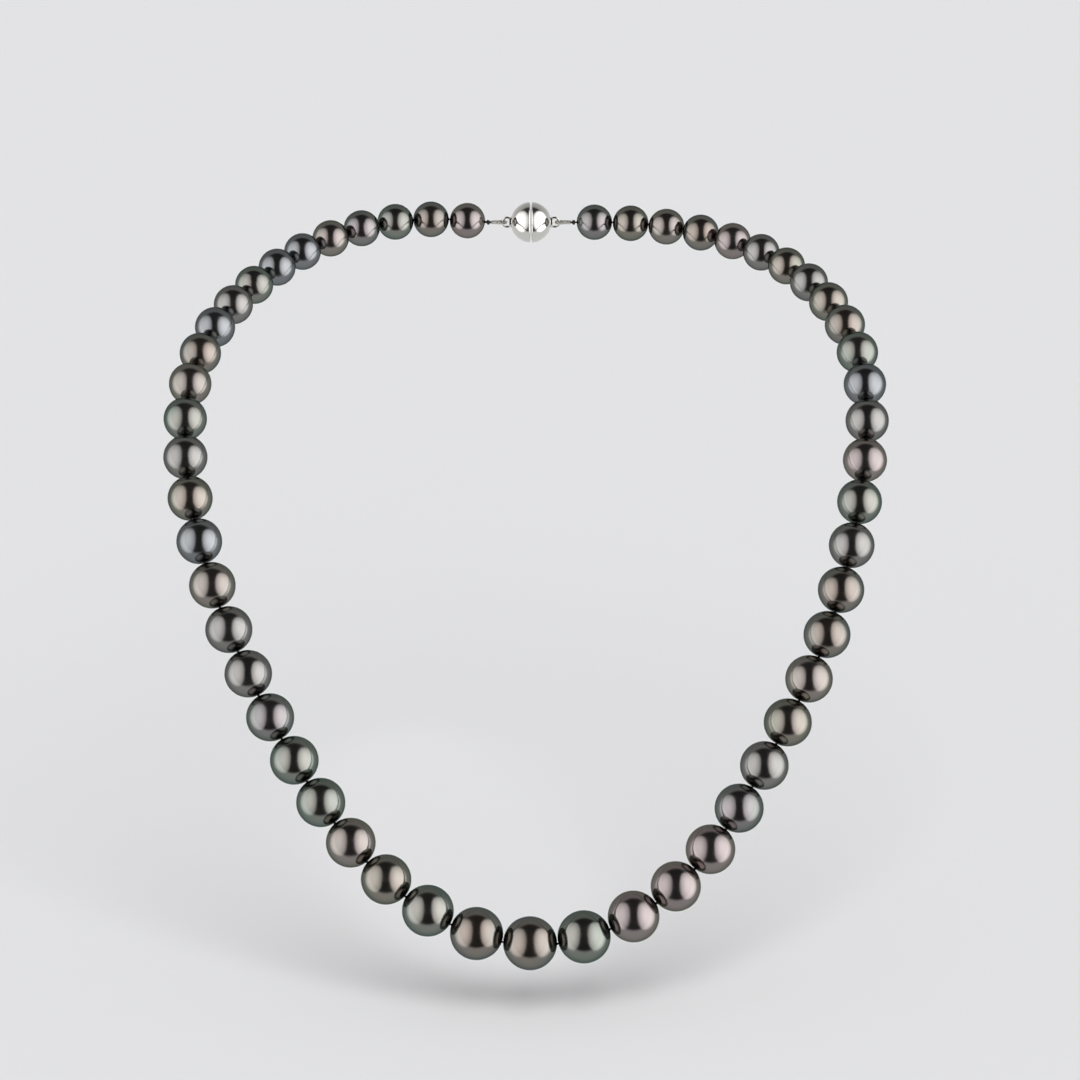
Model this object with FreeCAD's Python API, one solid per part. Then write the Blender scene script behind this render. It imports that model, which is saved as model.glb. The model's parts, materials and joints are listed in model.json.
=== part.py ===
"""Graduated strand of round dark pearls on silk, closed by a magnetic ball clasp at the nape.

Millimetres. +Z is up, +X is to the viewer's right and the front of the strand faces -Y. The
origin is the centre of the clasp ball, where the strand crosses the back of the neck. The strand
is modelled as it is worn: it drops from the nape over both shoulders to the front pearl.
"""
import FreeCAD
import Part
import math
import os

Vector = FreeCAD.Vector

# Pearls
PEARLS_PER_SIDE = 26
# (place counted from the front pearl, diameter): sizes run straight between these stations
GRADUATION = [(0, 11.0), (1, 10.85), (3, 10.3), (10, 9.65), (15, 9.0), (20, 8.1), (26, 7.9)]
DRILL_RADIUS = 0.45

# Strand line on the wearer, as seen from the front: the front point, then from front to nape
FRONT_POINT = (0.0, -133.0, -113.5)
LEFT_ROUTE = [
    (-28.0, -127.0, -103.0),
    (-47.5, -113.0, -82.5),
    (-62.0, -98.5, -58.0),
    (-70.5, -82.0, -35.0),
    (-71.0, -58.0, -16.0),
    (-60.0, -31.0, -5.5),
    (-39.0, -8.0, 0.5),
]
RIGHT_ROUTE = [
    (28.5, -127.0, -104.5),
    (47.0, -113.0, -84.0),
    (60.5, -98.5, -61.0),
    (68.0, -82.0, -37.5),
    (70.0, -58.0, -16.0),
    (60.5, -31.0, -5.0),
    (39.5, -8.0, -0.5),
]
WIDEST_SLACK = 1.0  # more room between two pearls than a strung strand ever has

# Silk
THREAD_RADIUS = 0.3
THREAD_TURN = 1.6  # how far from each gap the thread begins to turn, within the drill's play
KNOT_RADIUS = 0.6
STRAND_RADIUS = 0.18  # one strand of the silk, inside the French wire

# French wire: the coiled sleeve that guards the silk where it passes through the clasp's ring
SLEEVE_OUTER_RADIUS = 0.3
SLEEVE_INNER_RADIUS = 0.2
SLEEVE_BEND_RADIUS = 0.8
SLEEVE_LEG_OFFSET = 0.33  # half the distance between the two legs at the knot
SLEEVE_KNOT_GAP = 0.1

# Clasp, along +X from the seam
CLASP_REACH = 10.0  # from the seam's middle to the last pearl
BALL_RADIUS = 4.5
SEAM_GAP = 0.3
SEAM_ROUNDING = 0.35
MAGNET_RADIUS = 2.95
MAGNET_LENGTH = 2.0
MAGNET_SINK = 0.3  # how far the magnet's face lies below the rim of its shell
POCKET_PLAY = 0.05
HOLLOW_RADIUS = 1.9
HOLLOW_LENGTH = 1.1
COLLAR_RADIUS = 1.15
COLLAR_LENGTH = 0.35
COLLAR_ROUNDING = 0.12
RING_RADIUS = 1.05
RING_WIRE_RADIUS = 0.25
RING_CENTRE = 5.25

KNOT_CENTRE = CLASP_REACH - KNOT_RADIUS + 0.05
RING_TIP = RING_CENTRE + RING_RADIUS


def pearl_diameter(place):
    """Diameter of the pearl at this place, counted from the front pearl."""
    for (first, wide), (last, narrow) in zip(GRADUATION, GRADUATION[1:]):
        if first <= place <= last:
            return wide + (narrow - wide) * (place - first) / (last - first)
    raise ValueError(place)


def strand_line():
    """The closed line that the strand follows, and its parameter at the front point."""
    points = [(-CLASP_REACH, 0, 0)] + LEFT_ROUTE[::-1] + [FRONT_POINT]
    points += RIGHT_ROUTE + [(CLASP_REACH, 0, 0)]
    line = Part.BSplineCurve()
    line.interpolate(Points=[Vector(*p) for p in points], PeriodicFlag=True)
    return line, line.parameter(Vector(*FRONT_POINT))


def step_along(line, parameter, side, distance):
    """The parameter at which the line has moved this far, in a straight measure, on that side."""
    start = line.value(parameter)
    near, far = parameter, parameter + 1.5 * side * distance
    for _ in range(50):
        middle = (near + far) / 2
        if line.value(middle).distanceToPoint(start) < distance:
            near = middle
        else:
            far = middle
    return near


def walk_side(line, parameter, side, slack):
    """The points between the pearls of one side, front to nape, each pearl with this slack."""
    parameter = step_along(line, parameter, side, (pearl_diameter(0) + slack) / 2)
    points = [line.value(parameter)]
    for place in range(1, PEARLS_PER_SIDE + 1):
        parameter = step_along(line, parameter, side, pearl_diameter(place) + slack)
        points.append(line.value(parameter))
    return points


def gap_points(line, parameter, side):
    """The points between the pearls of one side, with the slack that just reaches the clasp."""
    end = Vector(side * CLASP_REACH, 0, 0)
    low, high = 0.0, WIDEST_SLACK
    for _ in range(40):
        slack = (low + high) / 2
        last = walk_side(line, parameter, side, slack)[-1]
        if side * last.x > side * end.x:
            low = slack
        else:
            high = slack
    points = walk_side(line, parameter, side, slack)
    points[-1] = end
    return points, slack


def pearl(start, end, diameter):
    """A round pearl midway between two gap points, drilled from one to the other."""
    axis = (end - start).normalize()
    centre = (start + end) / 2
    ball = Part.makeSphere(diameter / 2, centre, axis)
    drill = Part.makeCylinder(DRILL_RADIUS, diameter, centre - axis * (diameter / 2), axis)
    return ball.cut(drill)


def rounded_path(points, turn):
    """A wire of straight runs through these points, with a tangent arc at each corner."""
    edges = []
    start = points[0]
    for before, corner, after in zip(points, points[1:], points[2:]):
        back = before - corner
        ahead = after - corner
        reach = min(turn, 0.45 * back.Length, 0.45 * ahead.Length)
        leave = corner + back.normalize() * reach
        arrive = corner + ahead.normalize() * reach
        half_turn = (math.pi - back.getAngle(ahead)) / 2
        inwards = (back + ahead).normalize()
        middle = corner + inwards * (reach * math.tan(half_turn / 2))
        edges.append(Part.LineSegment(start, leave).toShape())
        edges.append(Part.Arc(leave, middle, arrive).toShape())
        start = arrive
    edges.append(Part.LineSegment(start, points[-1]).toShape())
    return Part.Wire(edges)


def tube(path, radius):
    """A round tube along a wire."""
    first = path.Edges[0]
    start = first.valueAt(first.FirstParameter)
    along = first.tangentAt(first.FirstParameter)
    section = Part.Wire(Part.makeCircle(radius, start, along))
    return path.makePipeShell([section], True, False)


def loop_path(start_gap):
    """The silk's path out of the knot, round the clasp's ring and back, on the +X side.

    start_gap is how far from the knot's centre the path begins and ends.
    """
    centre = Vector(RING_TIP, 0, 0)
    leg = Vector(KNOT_CENTRE, SLEEVE_LEG_OFFSET, 0)
    reach = (leg - centre).Length
    lean = math.asin(SLEEVE_LEG_OFFSET / reach) + math.acos(SLEEVE_BEND_RADIUS / reach)
    touch = centre + Vector(math.cos(lean), math.sin(lean), 0) * SLEEVE_BEND_RADIUS
    start = leg + (touch - leg).normalize() * start_gap
    tip = centre - Vector(SLEEVE_BEND_RADIUS, 0, 0)
    return Part.Wire([
        Part.LineSegment(start, touch).toShape(),
        Part.Arc(touch, tip, flipped_y(touch)).toShape(),
        Part.LineSegment(flipped_y(touch), flipped_y(start)).toShape(),
    ])


def flipped_y(point):
    """The point's mirror image across the XZ plane."""
    return Vector(point.x, -point.y, point.z)


def on_side(shape, side):
    """A shape made for the +X side, turned about Z to its own side."""
    if side < 0:
        shape.rotate(Vector(0, 0, 0), Vector(0, 0, 1), 180)
    return shape


def silk_thread(left, right):
    """The doubled silk through every pearl, its two end knots and the loops at the clasp."""
    ends = [Vector(side * KNOT_CENTRE, 0, 0) for side in (-1, 1)]
    route = [ends[0]] + left[::-1] + right + [ends[1]]
    silk = tube(rounded_path(route, THREAD_TURN), THREAD_RADIUS)
    for side, end in zip((-1, 1), ends):
        loop = on_side(tube(loop_path(0.0), STRAND_RADIUS), side)
        knot = Part.makeSphere(KNOT_RADIUS, end)
        silk = silk.fuse(knot).fuse(loop)
    return silk


def french_wire(side):
    """The coiled sleeve on the silk loop, as a hollow bent tube."""
    path = loop_path(KNOT_RADIUS + SLEEVE_KNOT_GAP)
    sleeve = tube(path, SLEEVE_OUTER_RADIUS).cut(tube(path, SLEEVE_INNER_RADIUS))
    return on_side(sleeve, side)


def clasp_shell(side):
    """Half of the clasp ball with its magnet pocket, collar and ring."""
    along = Vector(1, 0, 0)
    face = Vector(SEAM_GAP / 2, 0, 0)
    ball = Part.makeSphere(BALL_RADIUS, Vector(0, 0, 0), along)
    block = Part.makeBox(2 * BALL_RADIUS, 4 * BALL_RADIUS, 4 * BALL_RADIUS,
                         face - Vector(0, 2 * BALL_RADIUS, 2 * BALL_RADIUS))
    half = ball.common(block)
    rim = [e for e in half.Edges if abs(e.BoundBox.XMax - face.x) < 1e-6]
    half = half.makeFillet(SEAM_ROUNDING, rim)
    collar = Part.makeCylinder(COLLAR_RADIUS, BALL_RADIUS + COLLAR_LENGTH - RING_CENTRE + 2,
                               Vector(RING_CENTRE - 2, 0, 0), along)
    edge = [e for e in collar.Edges if e.BoundBox.XMin > BALL_RADIUS]
    collar = collar.makeFillet(COLLAR_ROUNDING, edge)
    ring = Part.makeTorus(RING_RADIUS, RING_WIRE_RADIUS, Vector(RING_CENTRE, 0, 0),
                          Vector(0, 1, 0))
    pocket_depth = MAGNET_SINK + MAGNET_LENGTH + POCKET_PLAY
    pocket = Part.makeCylinder(MAGNET_RADIUS + POCKET_PLAY, pocket_depth, face, along)
    hollow = Part.makeCylinder(HOLLOW_RADIUS, pocket_depth + HOLLOW_LENGTH, face, along)
    shell = half.fuse(collar).fuse(ring).cut(pocket).cut(hollow)
    return on_side(shell.removeSplitter(), side)


def clasp_magnet(side):
    """The disc magnet, glued in its shell with its face below the rim."""
    start = Vector(SEAM_GAP / 2 + MAGNET_SINK, 0, 0)
    disc = Part.makeCylinder(MAGNET_RADIUS, MAGNET_LENGTH, start, Vector(1, 0, 0))
    return on_side(disc, side)


def build_nodes():
    """Every piece of the necklace by name."""
    line, front = strand_line()
    left, left_slack = gap_points(line, front, -1)
    right, right_slack = gap_points(line, front, 1)
    print(f"room between pearls: {left_slack:.3f} mm left, {right_slack:.3f} mm right")
    nodes = {"pearl_centre": pearl(left[0], right[0], pearl_diameter(0))}
    for name, points in (("left", left), ("right", right)):
        for place in range(1, PEARLS_PER_SIDE + 1):
            shape = pearl(points[place - 1], points[place], pearl_diameter(place))
            nodes[f"pearl_{name}_{place:02d}"] = shape
    nodes["silk_thread"] = silk_thread(left, right)
    for name, side in (("left", -1), ("right", 1)):
        nodes[f"french_wire_{name}"] = french_wire(side)
        nodes[f"clasp_shell_{name}"] = clasp_shell(side)
        nodes[f"clasp_magnet_{name}"] = clasp_magnet(side)
    return nodes


def main():
    os.makedirs("parts", exist_ok=True)
    for name, shape in build_nodes().items():
        if len(shape.Solids) != 1 or not shape.isValid():
            raise RuntimeError(f"{name} is not one valid solid")
        shape.Solids[0].exportStep(f"parts/{name}.step")


if __name__ == "__main__":
    main()
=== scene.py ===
"""Looks of a graduated strand of round dark pearls on silk, with a magnetic ball clasp."""

import json
import math
import random

import bmesh
import bpy
from mathutils import Matrix, Vector, noise


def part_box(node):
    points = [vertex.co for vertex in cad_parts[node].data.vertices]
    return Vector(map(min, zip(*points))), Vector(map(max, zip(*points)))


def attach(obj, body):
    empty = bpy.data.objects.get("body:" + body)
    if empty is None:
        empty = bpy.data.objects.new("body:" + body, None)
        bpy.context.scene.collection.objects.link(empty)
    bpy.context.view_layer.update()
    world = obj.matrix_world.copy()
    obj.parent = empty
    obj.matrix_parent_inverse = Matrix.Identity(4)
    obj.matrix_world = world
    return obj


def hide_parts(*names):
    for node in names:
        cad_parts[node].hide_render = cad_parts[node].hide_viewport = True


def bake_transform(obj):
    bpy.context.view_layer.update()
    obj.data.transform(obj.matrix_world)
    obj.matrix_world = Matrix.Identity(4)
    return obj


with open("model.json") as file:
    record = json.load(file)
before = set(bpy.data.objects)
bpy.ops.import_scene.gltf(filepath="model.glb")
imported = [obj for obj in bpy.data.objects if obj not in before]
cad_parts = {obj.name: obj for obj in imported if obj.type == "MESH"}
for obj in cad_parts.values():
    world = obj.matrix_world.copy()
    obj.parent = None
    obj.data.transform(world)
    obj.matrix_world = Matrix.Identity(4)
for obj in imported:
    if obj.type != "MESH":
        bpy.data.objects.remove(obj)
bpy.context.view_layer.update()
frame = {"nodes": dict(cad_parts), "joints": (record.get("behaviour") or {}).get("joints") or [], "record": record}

MM = 0.001
JOINTS = {joint["name"]: joint for joint in frame["joints"]}
SLOTS = {part["node"]: part["material_slot"] for part in frame["record"]["subparts"]}
PER_SIDE = sum(name.startswith("link_left_") for name in JOINTS)
SIDES = {"left": -1, "right": 1}
SEED = 11

# Clasp and silk, in metres, as in the CAD model
CLASP_REACH = 10.0 * MM
KNOT_CENTRE = 9.45 * MM
KNOT_RADIUS = 0.6 * MM
DRILL_RADIUS = 0.45 * MM
SLEEVE_BEND_RADIUS = 0.8 * MM
SLEEVE_LEG_OFFSET = 0.33 * MM

# French wire: the fine wire and the coil that it makes
WIRE_RADIUS = 0.055 * MM
WIRE_PITCH = 2.1 * WIRE_RADIUS
COIL_RADIUS = 0.245 * MM
COIL_STEPS = 12

# Pearl mesh
PEARL_SEGMENTS = 80
PEARL_RINGS = 52
DRILL_RIM = 0.10 * MM
DRILL_DEPTH = 1.5 * MM
SWELL_FREQUENCY = 1.1
SWELL_DEPTH = 0.010
RING_FREQUENCY = 2.6
RING_DEPTH = 0.0022
PIT_WIDTH = 0.055
PITS = (((0.45, -0.70, 0.55), 0.016), ((0.62, -0.62, 0.38), 0.012))  # (direction, depth)
CHARACTERS = {
    "pearl_left_09": "pitted",
    "pearl_left_19": "ringed",
    "pearl_right_13": "ringed",
    "pearl_left_23": "ringed",
    "pearl_right_24": "pitted",
}

# Silk: two twisted strands, as (strand radius, distance from the middle, length of a full turn)
THREAD = (0.135 * MM, 0.14 * MM, 1.5 * MM)
LOOP_THREAD = (0.080 * MM, 0.085 * MM, 0.8 * MM)
KNOT_THREAD = (0.095 * MM, 0.095 * MM, 0.7 * MM)
THREAD_STEPS = 16  # points in a full turn of a strand
CORNER_REACH = 1.2 * MM  # how far each side of a gap's middle the silk's own curve runs

# End knot: a cord that winds twice round the silk while it waves three times
KNOT_RING = 0.32 * MM
KNOT_WAVE = 0.10 * MM
KNOT_LENGTH = 0.20 * MM
KNOT_LOBES = 3
KNOT_WRAPS = 2
KNOT_STEPS = 96

# Camera: in front and a little above, aimed well above the front pearl
CAMERA_ELEVATION = 20.0
CAMERA_DISTANCE = 900 * MM
CAMERA_LENS = 148.6
AIM_ACROSS = 2.0 * MM  # how far right of the front pearl the camera aims
AIM_ABOVE = 81.4 * MM

# Studio, in metres and watts: an oval softbox on each side of the camera, the left one weaker
SOFTBOX_DISTANCE = 1.2
SOFTBOX_DIRECTION = (0.88, 0.06, 0.47)  # shares of the camera's right, its up, and back towards it
SOFTBOX_WIDTH = 2.66
SOFTBOX_HEIGHT = 3.6
SOFTBOX_POWER = {"left": 52, "right": 74}
# (share of the way from the softbox's middle to its rim, brightness)
SOFTBOX_GLOW = ((0.0, 1.0), (0.3, 0.90), (0.5, 0.70), (0.75, 0.46), (0.9, 0.20), (1.0, 0.0))
DARK_ELEVATION = 36
DARK_EDGES = (71, 84)  # degrees from the middle of the dark part: where it starts to pale, and ends
DARK_CURTAIN = (0.045, 0.044, 0.043)
PALE_ABOVE = (0.44, 0.44, 0.43)
PALE_BELOW = (0.76, 0.77, 0.77)
DOME = (0.56, 0.56, 0.57)
KEY_STRENGTH = 1.5
KEY_SPREAD = 45
KEY_LEAN = (28, 12)  # degrees forwards and sideways
STUDIO_MIDDLE = (0, -0.08, -0.06)
FLOOR_DROP = 9.2 * MM  # the opened strand reaches 9 mm lower than the worn one


# Nacre: what the dark mirror shows under its tinted coat, near the middle of a pearl and at its rim
TINTS = {
    "bronze": ((0.230, 0.197, 0.176), (0.172, 0.180, 0.168)),
    "rose": ((0.246, 0.216, 0.206), (0.200, 0.194, 0.172)),
    "aubergine": ((0.246, 0.212, 0.214), (0.232, 0.210, 0.196)),
    "peacock": ((0.224, 0.204, 0.210), (0.164, 0.180, 0.170)),
    "green": ((0.220, 0.213, 0.196), (0.158, 0.188, 0.168)),
    "olive": ((0.242, 0.214, 0.192), (0.168, 0.178, 0.150)),
    "silver": ((0.224, 0.215, 0.209), (0.180, 0.182, 0.176)),
    "steel_blue": ((0.206, 0.211, 0.220), (0.172, 0.182, 0.192)),
}
MIDDLE_PLACE = 0.48  # where each tint counts, as a share of the radius from the middle
RIM_PLACE = 0.90
COAT_IOR = 1.05
GRAZING = (0.30, 0.31, 0.30)
COAT_ROUGHNESS = 0.12
NACRE_ROUGHNESS = (0.12, 0.20)
PATCH_DEPTH = 0.4  # how much thicker the coat looks in a patch, as a share of its thickness
PATCH_EDGES = (0.45, 0.75)

# Metals: darkest and lightest colour, smoothest and roughest, strength of the grain
METALS = {
    "french_wire": ((0.50, 0.49, 0.46), (0.62, 0.61, 0.58), (0.20, 0.32), 0.2),
    "white_gold": ((0.60, 0.59, 0.56), (0.70, 0.69, 0.66), (0.06, 0.16), 0.1),
    "magnet": ((0.38, 0.38, 0.40), (0.50, 0.50, 0.52), (0.22, 0.38), 0.4),
}
SILK_COLOURS = ((0.004, 0.004, 0.005), (0.020, 0.019, 0.021))
PAPER_COLOURS = ((0.78, 0.78, 0.785), (0.80, 0.80, 0.805))
NOISE_EDGES = (0.3, 0.7)  # the part of a noise's range that is used

# Sizes of the materials' patterns, as features per metre
PATCH_SCALE = 160
CLOUD_SCALE = 420
RIPPLE_SCALE = 700
FIBRE_SCALE = 9000
WEAR_SCALE = 700
GRAIN_SCALE = 5000
PAPER_SCALE = 3


def pearl_names():
    """Every pearl's name, from the front one out along each side."""
    yield "pearl_centre"
    for side in SIDES:
        for place in range(1, PER_SIDE + 1):
            yield f"pearl_{side}_{place:02d}"


def gap_point(side, place):
    """The point between two pearls, counted from the front; the last one is at the clasp."""
    if place > PER_SIDE:
        return Vector((SIDES[side] * CLASP_REACH, 0, 0))
    return Vector(JOINTS[f"link_{side}_{place:02d}"]["pos_m"])


def pearl_ends(name):
    """The two gap points that a pearl lies between."""
    if name == "pearl_centre":
        return gap_point("left", 1), gap_point("right", 1)
    side, place = name.split("_")[1:]
    return gap_point(side, int(place)), gap_point(side, int(place) + 1)


def pearl_radius(name):
    """Half of the widest side of the CAD pearl's box."""
    low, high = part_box(name)
    return max(high - low) / 2


# Node helpers

def new_material(name):
    material = bpy.data.materials.new(name)
    material.use_nodes = True
    nodes = material.node_tree.nodes
    return material, nodes, material.node_tree.links, nodes["Principled BSDF"]


def add_noise(nodes, links, coordinates, scale, detail=2.0, roughness=0.5):
    texture = nodes.new("ShaderNodeTexNoise")
    texture.inputs["Scale"].default_value = scale
    texture.inputs["Detail"].default_value = detail
    texture.inputs["Roughness"].default_value = roughness
    links.new(coordinates, texture.inputs["Vector"])
    return texture.outputs["Fac"]


def add_range(nodes, links, value, low, high, to_low, to_high):
    node = nodes.new("ShaderNodeMapRange")
    node.inputs["From Min"].default_value = low
    node.inputs["From Max"].default_value = high
    node.inputs["To Min"].default_value = to_low
    node.inputs["To Max"].default_value = to_high
    links.new(value, node.inputs["Value"])
    return node.outputs["Result"]


def add_mix(nodes, links, factor, first, second):
    node = nodes.new("ShaderNodeMix")
    node.data_type = "RGBA"
    for socket, colour in ((node.inputs["A"], first), (node.inputs["B"], second)):
        if isinstance(colour, tuple):
            socket.default_value = (*colour, 1)
        else:
            links.new(colour, socket)
    links.new(factor, node.inputs["Factor"])
    return node.outputs["Result"]


def add_bump(nodes, links, height, strength, distance, shader):
    bump = nodes.new("ShaderNodeBump")
    bump.inputs["Strength"].default_value = strength
    bump.inputs["Distance"].default_value = distance
    links.new(height, bump.inputs["Height"])
    links.new(bump.outputs["Normal"], shader.inputs["Normal"])


def shifted_coordinates(nodes, links, seed):
    """Object coordinates moved by the seed, so that no two pearls share a pattern."""
    coordinates = nodes.new("ShaderNodeTexCoord").outputs["Object"]
    mapping = nodes.new("ShaderNodeMapping")
    mapping.inputs["Location"].default_value = (seed * 0.113, seed * 0.071, seed * 0.057)
    links.new(coordinates, mapping.inputs["Vector"])
    return mapping.outputs["Vector"]


# Materials

def path_through_coat(place):
    """How far light travels through the coat, in thicknesses, at a share of the radius."""
    return 1 / math.sqrt(1 - (place / COAT_IOR) ** 2)


def nacre(name, tint, seed):
    """Lustrous dark nacre: a mirror under a tinted coat, so its overtone deepens at the rim."""
    middle, rim = TINTS[tint]
    near = path_through_coat(MIDDLE_PLACE)
    far = path_through_coat(RIM_PLACE)
    coat = tuple((edge / centre) ** (1 / (far - near)) for centre, edge in zip(middle, rim))
    under = tuple(centre / share ** near for centre, share in zip(middle, coat))
    deeper = tuple(colour * share ** PATCH_DEPTH for colour, share in zip(under, coat))
    material, nodes, links, shader = new_material(name)
    where = shifted_coordinates(nodes, links, seed)
    patches = add_noise(nodes, links, where, PATCH_SCALE, 1.5)
    share = add_range(nodes, links, patches, *PATCH_EDGES, 0, 1)
    links.new(add_mix(nodes, links, share, under, deeper), shader.inputs["Base Color"])
    shader.inputs["Metallic"].default_value = 1.0
    shader.inputs["Specular Tint"].default_value = (*GRAZING, 1)
    cloud = add_noise(nodes, links, where, CLOUD_SCALE, 3.0)
    roughness = add_range(nodes, links, cloud, *NOISE_EDGES, *NACRE_ROUGHNESS)
    links.new(roughness, shader.inputs["Roughness"])
    shader.inputs["Coat Weight"].default_value = 1.0
    shader.inputs["Coat IOR"].default_value = COAT_IOR
    shader.inputs["Coat Tint"].default_value = (*coat, 1)
    shader.inputs["Coat Roughness"].default_value = COAT_ROUGHNESS
    ripples = add_noise(nodes, links, where, RIPPLE_SCALE, 3.0)
    add_bump(nodes, links, ripples, 0.5, 0.02 * MM, shader)
    return material


def silk_material():
    """Dark silk: fine fibres along each twisted strand."""
    material, nodes, links, shader = new_material("silk")
    coordinates = nodes.new("ShaderNodeTexCoord").outputs["Object"]
    fibres = add_noise(nodes, links, coordinates, FIBRE_SCALE, 3.0, 0.6)
    colour = add_mix(nodes, links, fibres, *SILK_COLOURS)
    links.new(colour, shader.inputs["Base Color"])
    shader.inputs["Roughness"].default_value = 0.6
    shader.inputs["Sheen Weight"].default_value = 0.12
    add_bump(nodes, links, fibres, 0.5, 0.02 * MM, shader)
    return material


def metal(name):
    """Polished metal with hairline wear: the roughness drifts and a fine grain breaks it."""
    dark, light, rough, grain = METALS[name]
    material, nodes, links, shader = new_material(name)
    coordinates = nodes.new("ShaderNodeTexCoord").outputs["Object"]
    wear = add_noise(nodes, links, coordinates, WEAR_SCALE, 4.0, 0.6)
    links.new(add_mix(nodes, links, wear, dark, light), shader.inputs["Base Color"])
    shader.inputs["Metallic"].default_value = 1.0
    roughness = add_range(nodes, links, wear, *NOISE_EDGES, *rough)
    links.new(roughness, shader.inputs["Roughness"])
    hairlines = add_noise(nodes, links, coordinates, GRAIN_SCALE, 2.0)
    add_bump(nodes, links, hairlines, grain, 0.01 * MM, shader)
    return material


# Pearls

def pearl_profile(radius):
    """(distance from the drill axis, height along it) from one drill hole to the other."""
    start = math.asin((DRILL_RADIUS + DRILL_RIM) / radius)
    edge = radius * math.cos(start)
    profile = [(DRILL_RADIUS, edge - DRILL_DEPTH), (DRILL_RADIUS, edge - DRILL_RIM)]
    profile.append((DRILL_RADIUS + 0.3 * DRILL_RIM, edge - 0.3 * DRILL_RIM))
    for ring in range(PEARL_RINGS + 1):
        angle = start + (math.pi - 2 * start) * ring / PEARL_RINGS
        profile.append((radius * math.sin(angle), radius * math.cos(angle)))
    profile += [(across, -along) for across, along in profile[2::-1]]
    return profile


def shape_of(point, axis, radius, seed, character):
    """The pearl's own departure from round: faint swelling, rings or pits, never outwards."""
    direction = point.normalized()
    swell = noise.noise(direction * SWELL_FREQUENCY + Vector((seed, 0, 0)))
    scale = 1 - SWELL_DEPTH * (0.5 + 0.5 * swell)
    if character == "ringed":
        height = direction.dot(axis) * radius / MM
        scale -= RING_DEPTH * max(0.0, math.cos(height * RING_FREQUENCY + seed)) ** 6
    elif character == "pitted":
        for pit, depth in PITS:
            away = (direction - Vector(pit).normalized()).length
            scale -= depth * math.exp(-(away / PIT_WIDTH) ** 2)
    return point * scale


def make_pearl(name, seed):
    """A drilled pearl with its own slight shape, in place of the CAD node."""
    start, end = pearl_ends(name)
    radius = pearl_radius(name)
    profile = pearl_profile(radius)
    mesh = bmesh.new()
    rings = []
    for across, along in profile:
        ring = []
        for step in range(PEARL_SEGMENTS):
            turn = 2 * math.pi * step / PEARL_SEGMENTS
            ring.append(mesh.verts.new((across * math.cos(turn), across * math.sin(turn), along)))
        rings.append(ring)
    for above, below in zip(rings, rings[1:]):
        for step in range(PEARL_SEGMENTS):
            after = (step + 1) % PEARL_SEGMENTS
            mesh.faces.new((above[step], below[step], below[after], above[after])).smooth = True
    axis = (end - start).normalized()
    turned = axis.to_track_quat("Z", "Y").to_matrix()
    character = CHARACTERS.get(name)
    for vertex in mesh.verts:
        facing = turned @ vertex.co
        vertex.co = shape_of(facing, axis, radius, seed, character)
    data = bpy.data.meshes.new(name + "_nacre")
    mesh.to_mesh(data)
    mesh.free()
    pearl = bpy.data.objects.new(name + "_nacre", data)
    bpy.context.scene.collection.objects.link(pearl)
    pearl.location = (start + end) / 2
    tint = SLOTS[name].removeprefix("nacre_")
    data.materials.append(nacre(name + "_nacre", tint, seed))
    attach(pearl, name)
    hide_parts(name)


# Silk

def swept(bm, points, radius, sides):
    """A round tube through the points, added to bm."""
    rings = []
    normal = None
    for index, point in enumerate(points):
        before = points[max(index - 1, 0)]
        after = points[min(index + 1, len(points) - 1)]
        along = (after - before).normalized()
        if normal is None:
            normal = along.orthogonal().normalized()
        normal = (normal - along * normal.dot(along)).normalized()
        other = along.cross(normal)
        ring = []
        for step in range(sides):
            turn = 2 * math.pi * step / sides
            offset = normal * math.cos(turn) + other * math.sin(turn)
            ring.append(bm.verts.new(point + offset * radius))
        rings.append(ring)
    for first, second in zip(rings, rings[1:]):
        for step in range(sides):
            after = (step + 1) % sides
            bm.faces.new((first[step], second[step], second[after], first[after])).smooth = True
    bm.faces.new(rings[0])
    bm.faces.new(rings[-1][::-1])


def twisted(bm, route, thread):
    """Two strands twisted round a route."""
    radius, offset, pitch = thread
    path = resampled(route, pitch / THREAD_STEPS)
    strands = ([], [])
    normal = None
    travelled = 0.0
    for index, point in enumerate(path):
        before = path[max(index - 1, 0)]
        along = (path[min(index + 1, len(path) - 1)] - before).normalized()
        if normal is None:
            normal = along.orthogonal().normalized()
        normal = (normal - along * normal.dot(along)).normalized()
        other = along.cross(normal)
        travelled += (point - before).length
        turn = 2 * math.pi * travelled / pitch
        aside = (normal * math.cos(turn) + other * math.sin(turn)) * offset
        strands[0].append(point + aside)
        strands[1].append(point - aside)
    for strand in strands:
        swept(bm, strand, radius, 10)


def as_object(bm, name, material):
    """The mesh as an object in the scene, with its faces turned outwards."""
    bmesh.ops.recalc_face_normals(bm, faces=bm.faces)
    data = bpy.data.meshes.new(name)
    bm.to_mesh(data)
    bm.free()
    data.materials.append(material)
    piece = bpy.data.objects.new(name, data)
    bpy.context.scene.collection.objects.link(piece)
    return piece


def turned_path(first, corner, last):
    """Points from first to last, turning smoothly at the corner."""
    leave = corner + (first - corner).normalized() * CORNER_REACH
    arrive = corner + (last - corner).normalized() * CORNER_REACH
    path = [first]
    for step in range(9):
        share = step / 8
        path.append(leave.lerp(corner, share).lerp(corner.lerp(arrive, share), share))
    return path + [last]


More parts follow.
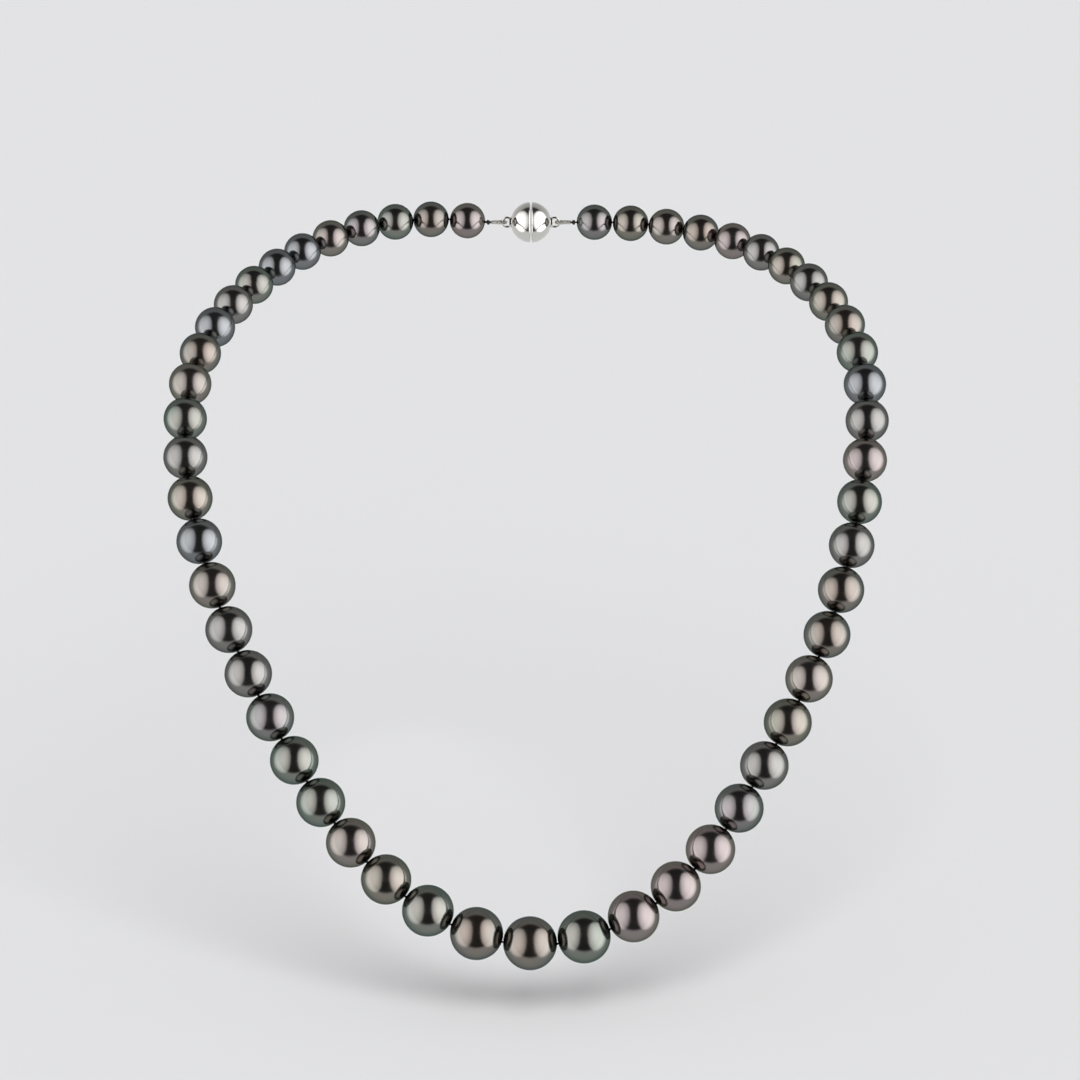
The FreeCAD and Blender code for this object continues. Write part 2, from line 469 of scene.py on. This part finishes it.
def silk_spans(silk):
    """The thread from the middle of each pearl to the middle of the next, bending between them."""
    for side in SIDES:
        before = "pearl_centre"
        for place in range(1, PER_SIDE + 1):
            after = f"pearl_{side}_{place:02d}"
            first = sum(pearl_ends(before), Vector()) / 2
            gap = gap_point(side, place)
            second = sum(pearl_ends(after), Vector()) / 2
            bm = bmesh.new()
            twisted(bm, turned_path(first, gap, second), THREAD)
            span = as_object(bm, f"silk_{side}_{place:02d}", silk)
            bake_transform(span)
            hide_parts("silk_thread")
            before = after


# Clasp

def loop_points(side, legs_to):
    """The silk's path out of the knot, round the clasp's ring and back."""
    tip = abs(JOINTS[f"clasp_swivel_{side}"]["pos_m"][0])
    centre = Vector((tip, 0, 0))
    leg = Vector((KNOT_CENTRE, SLEEVE_LEG_OFFSET, 0))
    reach = (leg - centre).length
    lean = math.asin(SLEEVE_LEG_OFFSET / reach) + math.acos(SLEEVE_BEND_RADIUS / reach)
    points = []
    steps = 24
    for step in range(steps + 1):
        turn = lean + (2 * math.pi - 2 * lean) * step / steps
        points.append(centre + Vector((math.cos(turn), math.sin(turn), 0)) * SLEEVE_BEND_RADIUS)
    first = leg + (points[0] - leg).normalized() * legs_to
    last = Vector((first.x, -first.y, 0))
    run = 10
    start = [first.lerp(points[0], step / run) for step in range(run)]
    finish = [points[-1].lerp(last, (step + 1) / run) for step in range(run)]
    path = start + points + finish
    if SIDES[side] < 0:
        path = [Vector((-p.x, -p.y, p.z)) for p in path]
    return path


def resampled(path, spacing):
    """Points along the path at an even spacing."""
    lengths = [0.0]
    for first, second in zip(path, path[1:]):
        lengths.append(lengths[-1] + (second - first).length)
    count = round(lengths[-1] / spacing)
    points = []
    index = 0
    for step in range(count + 1):
        target = lengths[-1] * step / count
        while index < len(path) - 2 and lengths[index + 1] < target:
            index += 1
        share = (target - lengths[index]) / (lengths[index + 1] - lengths[index])
        points.append(path[index].lerp(path[index + 1], share))
    return points


def french_wire(side, metal_wire):
    """The fine coil round the silk loop."""
    path = resampled(loop_points(side, KNOT_RADIUS + 0.1 * MM), WIRE_PITCH / COIL_STEPS)
    bm = bmesh.new()
    points = []
    up = Vector((0, 0, 1))
    for index, point in enumerate(path):
        ahead = path[min(index + 1, len(path) - 1)] - path[max(index - 1, 0)]
        out = up.cross(ahead.normalized())
        turn = 2 * math.pi * index / COIL_STEPS
        points.append(point + (up * math.cos(turn) + out * math.sin(turn)) * COIL_RADIUS)
    swept(bm, points, WIRE_RADIUS, 6)
    piece = as_object(bm, f"french_wire_coil_{side}", metal_wire)
    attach(piece, f"pearl_{side}_{PER_SIDE:02d}")
    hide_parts(f"french_wire_{side}")


def knot_and_loop(side, silk):
    """The end knot beside the last pearl and the silk loop inside the French wire."""
    name = f"pearl_{side}_{PER_SIDE:02d}"
    bm = bmesh.new()
    twisted(bm, loop_points(side, 0), LOOP_THREAD)
    centre = Vector((SIDES[side] * KNOT_CENTRE, 0, 0))
    end = sum(pearl_ends(name), Vector()) / 2
    twisted(bm, [centre, end], THREAD)
    points = []
    for step in range(KNOT_STEPS + 1):
        turn = 2 * math.pi * step / KNOT_STEPS
        ring = KNOT_RING + KNOT_WAVE * math.cos(KNOT_LOBES * turn)
        points.append(centre + Vector((KNOT_LENGTH * math.sin(KNOT_LOBES * turn),
                                       ring * math.cos(KNOT_WRAPS * turn),
                                       ring * math.sin(KNOT_WRAPS * turn))))
    twisted(bm, points, KNOT_THREAD)
    piece = as_object(bm, f"silk_knot_{side}", silk)
    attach(piece, name)
    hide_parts("silk_thread")


# Studio

def camera_axes():
    """The camera's right, its up, and the direction from the object back to it."""
    rise = math.radians(CAMERA_ELEVATION)
    up = Vector((0, math.sin(rise), math.cos(rise)))
    back = Vector((0, -math.cos(rise), math.sin(rise)))
    return Vector((1, 0, 0)), up, back


def add_camera(front):
    right, up, back = camera_axes()
    camera = bpy.data.objects.new("camera", bpy.data.cameras.new("camera"))
    bpy.context.scene.collection.objects.link(camera)
    camera.data.sensor_width = 36
    camera.data.lens = CAMERA_LENS
    camera.data.clip_start = 0.01
    camera.location = front + right * AIM_ACROSS + up * AIM_ABOVE + back * CAMERA_DISTANCE
    camera.rotation_mode = "QUATERNION"
    camera.rotation_quaternion = Matrix((right, up, back)).transposed().to_quaternion()
    bpy.context.scene.camera = camera


def softbox(side, middle):
    """A large oval softbox, brightest in its middle, on one side of the camera."""
    right, up, back = camera_axes()
    across, above, ahead = SOFTBOX_DIRECTION
    away = (right * across * SIDES[side] + up * above + back * ahead).normalized()
    top = (up - away * up.dot(away)).normalized()
    data = bpy.data.lights.new(f"softbox_{side}", "AREA")
    data.shape = "ELLIPSE"
    data.size = SOFTBOX_WIDTH
    data.size_y = SOFTBOX_HEIGHT
    data.energy = SOFTBOX_POWER[side]
    data.use_nodes = True
    nodes = data.node_tree.nodes
    links = data.node_tree.links
    from_middle = nodes.new("ShaderNodeVectorMath")
    from_middle.operation = "DISTANCE"
    from_middle.inputs[1].default_value = (0.5, 0.5, 0)
    links.new(nodes.new("ShaderNodeNewGeometry").outputs["Parametric"], from_middle.inputs[0])
    glow = nodes.new("ShaderNodeValToRGB")
    glow.color_ramp.interpolation = "B_SPLINE"
    stops = glow.color_ramp.elements
    while len(stops) < len(SOFTBOX_GLOW):
        stops.new(0.5)
    for stop, (place, brightness) in zip(stops, SOFTBOX_GLOW):
        stop.position = place
        stop.color = (brightness, brightness, brightness, 1)
    links.new(add_range(nodes, links, from_middle.outputs["Value"], 0, 0.5, 0, 1), glow.inputs["Fac"])
    links.new(glow.outputs["Color"], nodes["Emission"].inputs["Color"])
    light = bpy.data.objects.new(f"softbox_{side}", data)
    bpy.context.scene.collection.objects.link(light)
    light.location = middle + away * SOFTBOX_DISTANCE
    light.rotation_mode = "QUATERNION"
    axes = Matrix((top.cross(away), top, away)).transposed()
    light.rotation_quaternion = axes.to_quaternion()
    light.visible_camera = False
    light.visible_diffuse = False


def key_light():
    """A broad light from above that shapes only the matt things and the shadow on the paper."""
    data = bpy.data.lights.new("key", "SUN")
    data.energy = KEY_STRENGTH
    data.angle = math.radians(KEY_SPREAD)
    light = bpy.data.objects.new("key", data)
    bpy.context.scene.collection.objects.link(light)
    light.rotation_euler = (math.radians(KEY_LEAN[0]), math.radians(KEY_LEAN[1]), 0)
    light.visible_glossy = False


def add_floor(height):
    """Pale paper. It stays out of reflections, where the studio's own pale surround stands for it."""
    bm = bmesh.new()
    bmesh.ops.create_grid(bm, x_segments=1, y_segments=1, size=8)
    material, nodes, links, shader = new_material("paper")
    coordinates = nodes.new("ShaderNodeTexCoord").outputs["Object"]
    mottle = add_noise(nodes, links, coordinates, PAPER_SCALE, 3.0)
    colour = add_mix(nodes, links, mottle, *PAPER_COLOURS)
    links.new(colour, shader.inputs["Base Color"])
    shader.inputs["Roughness"].default_value = 0.9
    shader.inputs["Specular IOR Level"].default_value = 0.0
    floor = as_object(bm, "floor", material)
    floor.location.z = height
    floor.visible_glossy = False
    floor.visible_shadow = False


def add_world():
    """The studio as the pearls mirror it: pale below and behind, dark in front and overhead."""
    world = bpy.data.worlds.new("studio")
    bpy.context.scene.world = world
    world.use_nodes = True
    nodes = world.node_tree.nodes
    links = world.node_tree.links
    direction = nodes.new("ShaderNodeTexCoord").outputs["Generated"]
    height = nodes.new("ShaderNodeSeparateXYZ")
    links.new(direction, height.inputs["Vector"])
    rising = add_range(nodes, links, height.outputs["Z"], -0.2, 0.7, 0, 1)
    pale = add_mix(nodes, links, rising, PALE_BELOW, PALE_ABOVE)
    facing = nodes.new("ShaderNodeVectorMath")
    facing.operation = "DOT_PRODUCT"
    rise = math.radians(DARK_ELEVATION)
    facing.inputs[1].default_value = (0, -math.cos(rise), math.sin(rise))
    links.new(direction, facing.inputs[0])
    edges = (math.cos(math.radians(angle)) for angle in DARK_EDGES)
    share = add_range(nodes, links, facing.outputs["Value"], *edges, 0, 1)
    surround = add_mix(nodes, links, share, DARK_CURTAIN, pale)
    mirrored = nodes.new("ShaderNodeLightPath").outputs["Is Glossy Ray"]
    seen = add_mix(nodes, links, mirrored, DOME, surround)
    links.new(seen, nodes["Background"].inputs["Color"])
    nodes["Background"].inputs["Strength"].default_value = 1.0


def main():
    random.seed(SEED)
    for name in pearl_names():
        make_pearl(name, random.uniform(0, 40))
    silk = silk_material()
    silk_spans(silk)
    wire_metal = metal("french_wire")
    clasp_finishes = {"clasp_shell": metal("white_gold"), "clasp_magnet": metal("magnet")}
    for side in SIDES:
        knot_and_loop(side, silk)
        french_wire(side, wire_metal)
        for node, finish in clasp_finishes.items():
            piece = frame["nodes"][f"{node}_{side}"]
            piece.data.materials.clear()
            piece.data.materials.append(finish)
    add_camera(sum(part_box("pearl_centre"), Vector()) / 2)
    add_floor(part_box("pearl_centre")[0].z - FLOOR_DROP)
    for side in SIDES:
        softbox(side, Vector(STUDIO_MIDDLE))
    key_light()
    add_world()
    bpy.context.scene.view_settings.view_transform = "Standard"


main()
